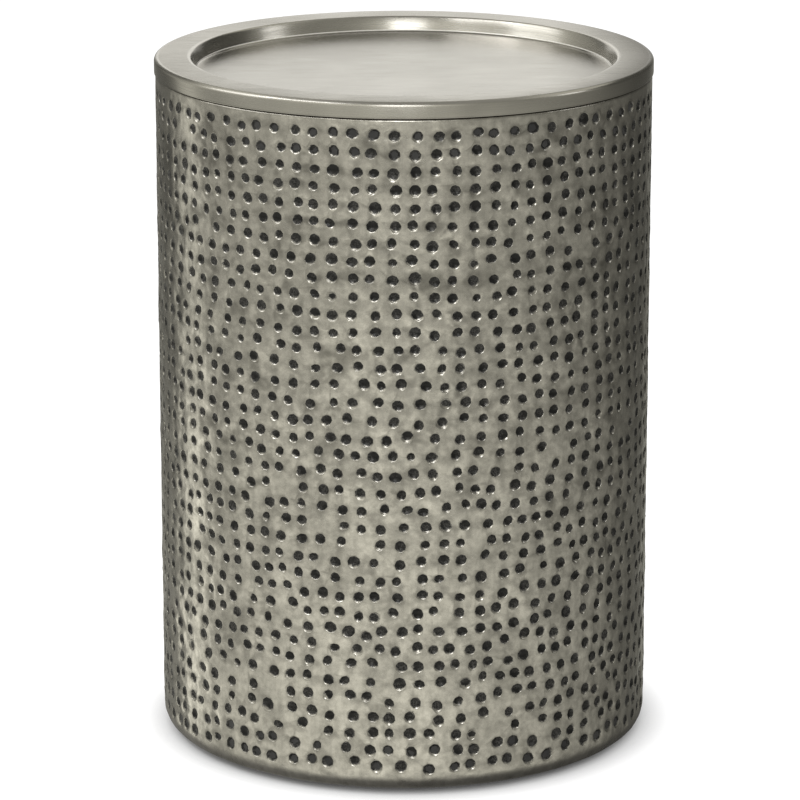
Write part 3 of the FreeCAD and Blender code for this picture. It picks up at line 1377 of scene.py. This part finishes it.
    def _inner(self) -> Skin:
        """Lays out the inner skin, with a low bump behind every mark that nothing welded covers.

        Returns:
            The skin, not yet joined into triangles.
        """
        marks = self.punches
        clear_low = self.section.along_wall(Turned.of("base_pan").high + self.welded_margin)
        clear_high = self.section.along_wall(Turned.of("mouth_hoop").low - self.welded_margin)
        shown = (marks.along > clear_low) & (marks.along < clear_high)
        base, mouth = self._bend_levels()
        gaps = self._gaps(self.inner_spacing, self.behind_share + self.skirt_margin)
        u, s = joined((self._grid(base, 0.0), self._grid(mouth, 0.0), gaps))
        ring_u, ring_s = (part[shown].ravel() for part in marks.ring(self.behind_share, self.wide_sides)[:2])
        top = -self.gauge - marks.sunk[shown] * self.behind_rise
        parts = (
            (u, s, np.full(len(u), -self.gauge)),
            (marks.around[shown], marks.along[shown], top),
            (ring_u, ring_s, np.full(len(ring_u), -self.gauge)),
        )
        u, s, lift = joined(parts)
        return Skin(*unmarked(u, s, lift, np.zeros(len(u))))

    def _placed(self, skin: Skin) -> Array:
        """Rolls a skin up.

        Args:
            skin: the skin.

        Returns:
            Its points.
        """
        radius, height = self.section.at(skin.s, skin.lift)
        angle = TURN * skin.u / self.girth
        return np.stack((-radius * np.sin(angle), radius * np.cos(angle), height), axis=-1)

    def _rim(self, outer: Skin, inner: Skin, level: float) -> Array:
        """Closes the sheet's edge between its two skins.

        Args:
            outer: the outer skin.
            inner: the inner skin.
            level: how far along the section the edge is.

        Returns:
            The quads that close it.
        """
        rows = []
        for skin in (outer, inner):
            found = np.flatnonzero((skin.s == level) & (skin.u < self.girth))
            rows.append(found[np.argsort(skin.u[found])])
        first, second = rows[0], rows[1] + len(outer.u)
        quads = np.stack((first, second, np.roll(second, -1), np.roll(first, -1)), axis=-1)
        return quads if level == 0.0 else quads[:, ::-1]

    def _bake_map(self, mesh: bpy.types.Mesh, outer: Skin, inner: Skin) -> None:
        """Lays the sheet out flat: the outer skin over most of the square, and the inner one under it.

        Args:
            mesh: the shell's mesh.
            outer: the outer skin.
            inner: the inner skin.
        """
        across = np.concatenate((outer.corner_u.ravel(), inner.corner_u.ravel())) / self.girth
        up = np.concatenate((outer.corner_s.ravel(), inner.corner_s.ravel())) / self.section.total
        split = outer.corner_s.size
        up[:split] = up[:split] * self.bake_outer + (1 - self.bake_outer)
        up[split:] = up[split:] * self.bake_inner
        places = np.full((len(mesh.loops), 2), (0.5, self.bake_rims))
        places[: len(across)] = np.stack((across, up), axis=-1)
        layer = mesh.uv_layers.new(name=BAKE_MAP)
        layer.data.foreach_set("uv", places.ravel())

    def _carry(self, mesh: bpy.types.Mesh, outer: Skin, inner: Skin) -> None:
        """Stores each vertex's place in its mark, and the mark's black, on the mesh.

        Args:
            mesh: the shell's mesh.
            outer: the outer skin.
            inner: the inner skin.
        """
        punch = mesh.attributes.new(PUNCH_ATTRIBUTE, "FLOAT_VECTOR", "POINT")
        punch.data.foreach_set("vector", np.concatenate((outer.punch, inner.punch)).ravel())
        soot = mesh.attributes.new(SOOT_ATTRIBUTE, "FLOAT", "POINT")
        soot.data.foreach_set("value", np.concatenate((outer.soot, inner.soot)))

    def _drop_loose(self, mesh: bpy.types.Mesh) -> None:
        """Removes the doubled points that closing the sheet left without faces.

        Args:
            mesh: the shell's mesh.
        """
        work = bmesh.new()
        work.from_mesh(mesh)
        loose = [point for point in work.verts if not point.link_faces]
        bmesh.ops.delete(work, geom=loose, context="VERTS")
        work.to_mesh(mesh)
        work.free()

    def build(self, finishes: Finishes) -> Iterator[Piece]:
        """Builds and dresses the shell.

        Args:
            finishes: the table's finishes.

        Yields:
            The shell.
        """
        outer, inner = self._outer(), self._inner()
        outer.triangulate(self.girth)
        inner.triangulate(self.girth)
        points = np.concatenate((self._placed(outer), self._placed(inner)))
        inside = inner.triangles[:, ::-1] + len(outer.u)
        inner.corner_u, inner.corner_s = inner.corner_u[:, ::-1], inner.corner_s[:, ::-1]
        rims = [self._rim(outer, inner, level).tolist() for level in (0.0, self.section.total)]
        faces = outer.triangles.tolist() + inside.tolist() + rims[0] + rims[1]
        shell = new_piece("punched_drum_shell", points, faces)
        self._carry(shell.data, outer, inner)
        self._bake_map(shell.data, outer, inner)
        finishes.dress(shell, Slot.NICKEL, Slot.BLACK)
        black = np.zeros(len(faces), np.int32)
        black[len(outer.triangles) : len(outer.triangles) + len(inside)] = 1
        shell.data.polygons.foreach_set("material_index", black)
        self._drop_loose(shell.data)
        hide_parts("drum_wall", "mouth_ring", "base_ring")
        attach(shell, Body.DRUM.value)
        yield shell


class Bend(NamedTuple):
    """A corner of a sheet's section: its radius from the axis, its height and its bend radius."""

    radius: float
    height: float
    bend: float = 0.0


def bent_path(bends: Sequence[Bend], steps: int) -> tuple[Array, Array]:
    """Finds the skin of a bent sheet's section.

    Args:
        bends: its corners in order, where the first and last have no bend.
        steps: how many points each bend has, less one.

    Returns:
        The path's points and their unit normals, on the left of the way it runs.
    """
    corners = [np.array((bend.radius, bend.height)) for bend in bends]
    points, normals = [corners[0]], []
    for before, corner, after, bend in zip(corners, corners[1:], corners[2:], bends[1:]):
        arrive = (corner - before) / np.linalg.norm(corner - before)
        leave = (after - corner) / np.linalg.norm(after - corner)
        turn = math.atan2(arrive[0] * leave[1] - arrive[1] * leave[0], float(arrive @ leave))
        setback = bend.bend * abs(math.tan(turn / 2))
        side = math.copysign(1.0, turn)
        left = np.array((-arrive[1], arrive[0]))
        centre = corner - arrive * setback + left * side * bend.bend
        for step in range(steps + 1):
            angle = turn * step / steps
            cos, sin = math.cos(angle), math.sin(angle)
            spun = np.array((left[0] * cos - left[1] * sin, left[0] * sin + left[1] * cos))
            if not normals:
                normals.append(spun)
            points.append(centre - spun * side * bend.bend)
            normals.append(spun)
    points.append(corners[-1])
    normals.append(normals[-1])
    return np.array(points), np.array(normals)


@dataclass
class TrayPressing:
    """The tray: one sheet pressed to a rim, a band with its lower edge turned in, and a sunk floor."""

    whole: Turned = field(default_factory=lambda: Turned.of("tray_top"))
    gauge: float = 1.2 * MM
    band_height: float = 10.9 * MM
    rim_width: float = 24.0 * MM
    recess_depth: float = 10.4 * MM
    wall_run: float = 3.4 * MM
    return_width: float = 13.0 * MM
    return_bend: float = 0.7 * MM
    outer_bend: float = 3.0 * MM
    lip_bend: float = 1.8 * MM
    floor_bend: float = 3.0 * MM
    crown: float = 0.25 * MM
    crown_reach: float = 1.01
    columns: int = 384
    bend_steps: int = 8
    longest_run: float = 6 * MM

    def _skin(self) -> tuple[Array, Array]:
        """Draws the section's shown skin, from the turned-in edge to the floor, with points along its flats.

        Returns:
            Its points and their normals.
        """
        radius, top = self.whole.outer, self.whole.high
        opening = radius - self.rim_width
        underside = top - self.band_height
        floor = top - self.recess_depth
        bends = (
            Bend(radius - self.return_width, underside),
            Bend(radius, underside, self.return_bend),
            Bend(radius, top, self.outer_bend),
            Bend(opening, top, self.lip_bend),
            Bend(opening - self.wall_run, floor, self.floor_bend - self.gauge),
            Bend(0.0, floor),
        )
        points, normals = bent_path(bends, self.bend_steps)
        filled, facing = [], []
        for start, end, normal, after in zip(points, points[1:], normals, normals[1:]):
            pieces = max(1, math.ceil(float(np.linalg.norm(end - start)) / self.longest_run))
            for step in range(pieces):
                share = step / pieces
                filled.append(start + (end - start) * share)
                facing.append(normal + (after - normal) * share)
        facing = np.array([*facing, normals[-1]])
        return np.array([*filled, points[-1]]), facing / np.linalg.norm(facing, axis=1)[:, None]

    def _crowned(self, points: Array) -> Array:
        """Crowns the section's rim, so that it falls slightly from its middle to both edges.

        Args:
            points: a skin of the section.

        Returns:
            The skin with the crown.
        """
        inner = self.whole.outer - self.rim_width + self.lip_bend
        outer = self.whole.outer - self.outer_bend
        middle, half = (inner + outer) / 2, (outer - inner) / 2
        away = np.clip(np.abs(points[:, 0] - middle) / half, 0, 1)
        on_rim = points[:, 1] > self.whole.high - self.gauge * self.crown_reach
        beyond = np.clip((points[:, 1] - self.whole.high + self.outer_bend) / self.outer_bend, 0, 1)
        lowered = points.copy()
        lowered[:, 1] -= self.crown * away**2 * np.where(on_rim, 1.0, beyond)
        return lowered

    def _turned(self, section: Array, split: int, ends: tuple[float, float]) -> Piece:
        """Turns the section into a closed mesh.

        Args:
            section: the points of both skins, from the turned-in edge to the axis and back.
            split: how many of them are on the shown skin.
            ends: where the two skins meet the axis.

        Returns:
            The mesh object.
        """
        step = np.arange(self.columns)
        angle = step * TURN / self.columns
        radius, height = section[:, 0][:, None], section[:, 1][:, None]
        turned = (radius * np.sin(angle), radius * -np.cos(angle), height * np.ones_like(angle))
        points = np.stack(turned, axis=-1).reshape(-1, 3)
        points = np.concatenate((points, [(0.0, 0.0, level) for level in ends]))
        after = (step + 1) % self.columns
        faces: list[list[int]] = []
        rows = len(section)
        for row in range(rows):
            if row != split - 1:
                this, above = row * self.columns, (row + 1) % rows * self.columns
                faces += np.stack((this + step, this + after, above + after, above + step), -1).tolist()
        top, bottom = len(points) - 2, len(points) - 1
        inner_top, inner_bottom = (split - 1) * self.columns, split * self.columns
        faces += [[inner_top + a, inner_top + b, top] for a, b in zip(step, after)]
        faces += [[inner_bottom + b, inner_bottom + a, bottom] for a, b in zip(step, after)]
        return new_piece("brushed_tray_top", points, faces)

    def build(self, finishes: Finishes) -> Iterator[Piece]:
        """Builds and dresses the tray.

        Args:
            finishes: the table's finishes.

        Yields:
            The tray.
        """
        shown, normals = self._skin()
        hidden = shown + normals * self.gauge
        hidden[:, 0] = np.maximum(hidden[:, 0], 0.0)
        section = np.concatenate((self._crowned(shown)[:-1], self._crowned(hidden)[:-1][::-1]))
        floor = self.whole.high - self.recess_depth
        tray = self._turned(section, len(shown) - 1, (floor, floor - self.gauge))
        finishes.dress(tray, Slot.TRAY)
        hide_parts("tray_top")
        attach(tray, Body.TRAY.value)
        yield tray


@dataclass
class CarriedParts:
    """The CAD nodes whose shape is shown as it is, with a better finish."""

    names: tuple[str, ...] = (
        "tray_ring", "tray_backing", "tray_bumpers", "mouth_hoop", "base_pan",
        "foot_bumpers", "foot_washers", "foot_screws", "foot_nuts",
    )

    def build(self, finishes: Finishes) -> Iterator[Piece]:
        """Dresses each node.

        Args:
            finishes: the table's finishes.

        Yields:
            Each node.
        """
        for name in self.names:
            finishes.dress_node(name)
            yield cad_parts[name]


# --------------------------------------------------------------------------------------------------- studio


def flat_piece(name: str, first: Triple, last: Triple) -> Piece:
    """Makes a flat piece with four corners, which is level or faces along Y.

    Args:
        name: the piece's name.
        first: one corner.
        last: the opposite corner.

    Returns:
        The piece.
    """
    corners = [first, (last[0], first[1], first[2]), last, (first[0], last[1], last[2])]
    return new_piece(name, np.array(corners, float), [(0, 1, 2, 3)])


def stage_net(piece: Piece) -> Net:
    """Gives a stage piece an empty material.

    Args:
        piece: the piece.

    Returns:
        The material's net.
    """
    material = bpy.data.materials.new(piece.name)
    material.use_nodes = True
    piece.data.materials.append(material)
    return Net(material.node_tree)


def only_glow(piece: Piece, net: Net, strength: Value, tint: Triple, cover: Value = 1.0) -> None:
    """Makes a stage piece glow for reflections alone, so that it casts no shadow and no light.

    Args:
        piece: the piece.
        net: its material's net.
        strength: how much it glows.
        tint: the colour of its light.
        cover: how much it covers what is behind it, from 0 to 1.
    """
    glow = net.node("Emission", {"Color": tint, "Strength": strength})
    net.end(cover, net.node("BsdfTransparent"), glow)
    piece.visible_camera = False
    piece.visible_diffuse = False
    piece.visible_shadow = False
    piece.visible_transmission = False
    piece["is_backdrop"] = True


@dataclass
class StudioRing:
    """A round studio wall that only reflections see: paler and darker cloths hung round the table.

    Each tone has a bearing in degrees, with 0 at the front and 90 at +X. The fade is a span of heights and
    what the tones are multiplied by at its ends.
    """

    name: str
    low: float
    high: float
    tones: tuple[tuple[float, float], ...]
    fade: tuple[float, float, float, float] = (0.0, 1.0, 1.0, 1.0)
    radius: float = 2.4
    columns: int = 96
    tint: Triple = (1.0, 0.985, 0.87)

    def build(self) -> None:
        """Builds the wall, whose tone changes round and up it."""
        step = np.arange(self.columns)
        angle = step * TURN / self.columns
        x, y = self.radius * np.sin(angle), self.radius * np.cos(angle)
        rings = [np.stack((x, y, np.full(self.columns, z)), -1) for z in (self.low, self.high)]
        after = (step + 1) % self.columns
        quads = np.stack((step, after, after + self.columns, step + self.columns), -1)
        wall = new_piece(self.name, np.concatenate(rings), quads.tolist())
        net = stage_net(wall)
        x, y, z = net.split(net.place())
        share = net.scaled(net.math("ARCTAN2", x, net.times(y, -1.0)), 1 / TURN, 0.5)
        brightest = max(tone for _, tone in self.tones)
        stops = [((bearing + 180) / 360, tone / brightest) for bearing, tone in self.tones]
        upward = net.remap(z, self.fade[:2], self.fade[2:])
        only_glow(wall, net, net.times(net.ramp(share, stops), upward, brightest), self.tint)


@dataclass
class StudioDisc:
    """A level disc that only reflections see: plain out to one radius, and clear from another."""

    name: str
    level: float
    tone: float
    plain: float
    clear: float
    lean: float = 0.0
    margin: float = 1.02
    tint: Triple = (1.0, 0.98, 0.90)

    def build(self) -> None:
        """Builds the disc, which is paler at the left where it leans."""
        half = self.clear * self.margin
        disc = flat_piece(self.name, (-half, -half, self.level), (half, half, self.level))
        net = stage_net(disc)
        place = net.place()
        cover = net.remap(net.off_axis(place), (self.clear, self.plain))
        strength: Value = self.tone
        if self.lean:
            tones = (self.tone * (1 + self.lean), self.tone * (1 - self.lean))
            strength = net.remap(net.split(place)[0], (-self.plain, self.plain), tones)
        only_glow(disc, net, strength, self.tint, cover)


@dataclass
class BackCard:
    """A card close behind the table, paler at the left, that the tray's flats reflect."""

    y: float = 0.75
    half_width: float = 0.36
    low: float = 0.462
    high: float = 0.86
    rise: Span = (-0.24, 0.02)
    rise_tones: Span = (1.12, 1.29)
    fall: Span = (0.11, 0.24)
    fall_shares: Span = (1.0, 0.34)
    upward: Span = (0.56, 0.66)
    upward_shares: Span = (0.84, 1.0)
    tint: Triple = (1.0, 0.985, 0.93)

    def build(self) -> None:
        """Builds the card, whose tone changes across and up it."""
        ends = (-self.half_width, self.y, self.low), (self.half_width, self.y, self.high)
        card = flat_piece("studio_back_card", *ends)
        net = stage_net(card)
        x, _, z = net.split(net.place())
        rising = net.remap(x, self.rise, self.rise_tones)
        falling = net.remap(x, self.fall, self.fall_shares)
        upward = net.remap(z, self.upward, self.upward_shares)
        only_glow(card, net, net.times(rising, falling, upward), self.tint)


@dataclass
class Lamp:
    """A soft light that hangs at a bearing and points at the table.

    The bearing is 0 degrees at the front and 90 at +X, and glow is how bright its face is. One that doesn't
    shine only lights matt surfaces.
    """

    name: str
    bearing: float
    elevation: float
    width: float
    height: float
    glow: float
    distance: float = 2.2
    aim: Triple = (0.0, 0.0, 0.35)
    shines: bool = True

    def build(self) -> None:
        """Adds the light."""
        light = bpy.data.lights.new(self.name, "AREA")
        light.shape = "RECTANGLE"
        light.size = self.width
        light.size_y = self.height
        light.energy = self.glow * math.pi * self.width * self.height
        lamp = bpy.data.objects.new(self.name, light)
        turn, rise = math.radians(self.bearing), math.radians(self.elevation)
        way = Vector((math.sin(turn) * math.cos(rise), -math.cos(turn) * math.cos(rise), math.sin(rise)))
        lamp.location = Vector(self.aim) + way * self.distance
        lamp.rotation_euler = way.to_track_quat("Z", "Y").to_euler()
        lamp.visible_glossy = self.shines
        bpy.context.scene.collection.objects.link(lamp)


LOW_TONES = (
    (-180, 0.50), (-155, 0.18), (-136, 0.16), (-126, 0.24), (-119, 0.84), (-111, 0.90), (-103, 0.46),
    (-92, 0.42), (-80, 0.54), (-70, 0.58), (-60, 0.54), (-50, 0.64), (-40, 0.54), (-31, 0.70), (-22, 0.60),
    (-13, 0.72), (-4, 0.55), (4, 0.68), (12, 0.54), (20, 0.62), (29, 0.46), (38, 0.54), (48, 0.46),
    (60, 0.43), (73, 0.34), (90, 0.28), (106, 0.19), (129, 0.11), (149, 0.12), (180, 0.50),
)
HIGH_TONES = (
    (-180, 0.45), (-165, 0.36), (-148, 0.10), (-128, 0.40), (-112, 0.60), (-100, 0.90), (-60, 0.72),
    (-41, 0.95), (-20, 1.05), (-11, 1.1), (9, 1.1), (18, 0.78), (31, 0.46), (60, 0.32), (71, 0.42),
    (78, 0.46), (91, 0.40), (97, 0.30), (104, 0.13), (118, 0.10), (150, 0.08), (165, 0.28), (180, 0.45),
)
UPPER_TONES = (
    (-180, 0.40), (-150, 0.65), (-120, 0.80), (-98, 0.8), (-62, 0.8), (-40, 0.48), (0, 0.48), (58, 0.34),
    (84, 0.70), (120, 0.80), (150, 0.65), (180, 0.40),
)


@dataclass
class Studio:
    """A plain pale floor, walls and cards to reflect, soft lights, the world and the camera."""

    surroundings: tuple[Union[StudioRing, StudioDisc, BackCard, Lamp], ...] = (
        StudioRing("studio_low", -3.0, 0.46, LOW_TONES, fade=(-0.66, -0.12, 1.44, 0.87)),
        StudioRing("studio_high", 0.46, 2.1, HIGH_TONES),
        StudioRing("studio_upper", 2.1, 4.2, UPPER_TONES),
        StudioDisc("studio_ceiling", level=4.2, tone=0.42, plain=3.0, clear=3.1),
        StudioDisc("studio_well", level=-3.0, tone=0.40, plain=3.0, clear=3.1),
        StudioDisc("studio_base_shade", level=0.4 * MM, tone=0.14, plain=0.1625, clear=0.200, lean=0.45),
        BackCard(),
        Lamp("overhead", -20.0, 78.0, width=1.1, height=1.1, glow=2.5, distance=2.3, shines=False),
        Lamp("left_softbox", -86.0, 36.0, width=1.25, height=1.2, glow=1.7),
        Lamp("left_upper", -58.0, 50.0, width=1.4, height=0.55, glow=3.6),
        Lamp("right_strip", 84.0, 28.0, width=0.50, height=0.50, glow=1.9),
        Lamp("front_softbox", -2.0, 26.0, width=0.68, height=1.0, glow=3.5),
    )
    floor_size: float = 40.0
    floor_tone: float = 0.40
    floor_glow: float = 0.90
    shadow_reach: float = 0.025
    shadow_samples: int = 16
    world_level: float = 0.55
    camera_place: Triple = (-0.00256, -2.7711, 0.9807)
    camera_pitch: float = 15.30
    camera_clip: tuple[float, float] = (0.05, 100.0)
    lens: float = 191.45

    def build(self) -> None:
        """Builds everything that isn't the table."""
        scene = bpy.context.scene
        scene.view_settings.view_transform = "Standard"
        self._world(scene)
        self._floor()
        for thing in self.surroundings:
            thing.build()
        self._camera(scene)

    def _shown(self, net: Net) -> Socket:
        """Finds what a surface is seen by.

        Args:
            net: its net.

        Returns:
            1 where the camera, a reflection or glass sees it, and 0 where light alone does.
        """
        seen = net.node("LightPath").outputs
        straight = net.math("MAXIMUM", seen["Is Camera Ray"], seen["Is Glossy Ray"])
        return net.math("MAXIMUM", straight, seen["Is Transmission Ray"])

    def _world(self, scene: bpy.types.Scene) -> None:
        """Makes a world that is white to the camera, reflections and glass, and plain for light.

        Args:
            scene: the scene.
        """
        scene.world = bpy.data.worlds.new("studio_world")
        scene.world.use_nodes = True
        net = Net(scene.world.node_tree)
        level = net.scaled(self._shown(net), 1.0 - self.world_level, self.world_level)
        sky = net.node("Background", {"Strength": level})
        net.node("OutputWorld", {"Surface": sky.outputs["Background"]})

    def _floor(self) -> None:
        """Makes a wide floor, white to the camera, that keeps the table's shadow and is clear from below."""
        half = self.floor_size / 2
        floor = flat_piece("studio_floor", (-half, -half, 0.0), (half, half, 0.0))
        floor.visible_glossy = False
        net = stage_net(floor)
        tone = (self.floor_tone, self.floor_tone, self.floor_tone)
        matt = net.node("BsdfDiffuse", {"Color": tone})
        near = net.node("AmbientOcclusion", {"Distance": self.shadow_reach}, samples=self.shadow_samples)
        strength = net.times(self._shown(net), self.floor_glow, near.outputs["AO"])
        glow = net.node("Emission", {"Strength": strength})
        both = net.node("AddShader", {0: matt.outputs[0], 1: glow.outputs[0]})
        net.end(net.node("NewGeometry").outputs["Backfacing"], both, net.node("BsdfTransparent"))
        floor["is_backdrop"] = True

    def _camera(self, scene: bpy.types.Scene) -> None:
        """Puts the camera in front of the table and a little above it.

        Args:
            scene: the scene.
        """
        lens = bpy.data.cameras.new("camera")
        lens.lens = self.lens
        lens.clip_start, lens.clip_end = self.camera_clip
        camera = bpy.data.objects.new("camera", lens)
        camera.location = self.camera_place
        camera.rotation_euler = (math.radians(90.0 - self.camera_pitch), 0.0, 0.0)
        scene.collection.objects.link(camera)
        scene.camera = camera


def report_pieces(made: Iterator[Piece]) -> None:
    """Builds pieces one by one and reports each."""
    for piece in made:
        LOG.info("%s: %d faces", piece.name, len(piece.data.polygons))


def write_sizes() -> None:
    """Works out the CAD box and the dressed table's box as lists, which are neither kept nor compared."""
    boxes = {"cad": CAD_BOX, "visual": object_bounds()}
    lists = {name: [list(corner) for corner in box] for name, box in boxes.items()}


def main() -> None:
    """Builds the table and its studio."""
    logging.basicConfig(level=logging.INFO, format="%(message)s")
    Studio().build()
    finishes = Finishes()
    for sub_assembly in (DrumShell(), TrayPressing(), CarriedParts()):
        report_pieces(sub_assembly.build(finishes))
    write_sizes()


if __name__ == "__main__":
    main()
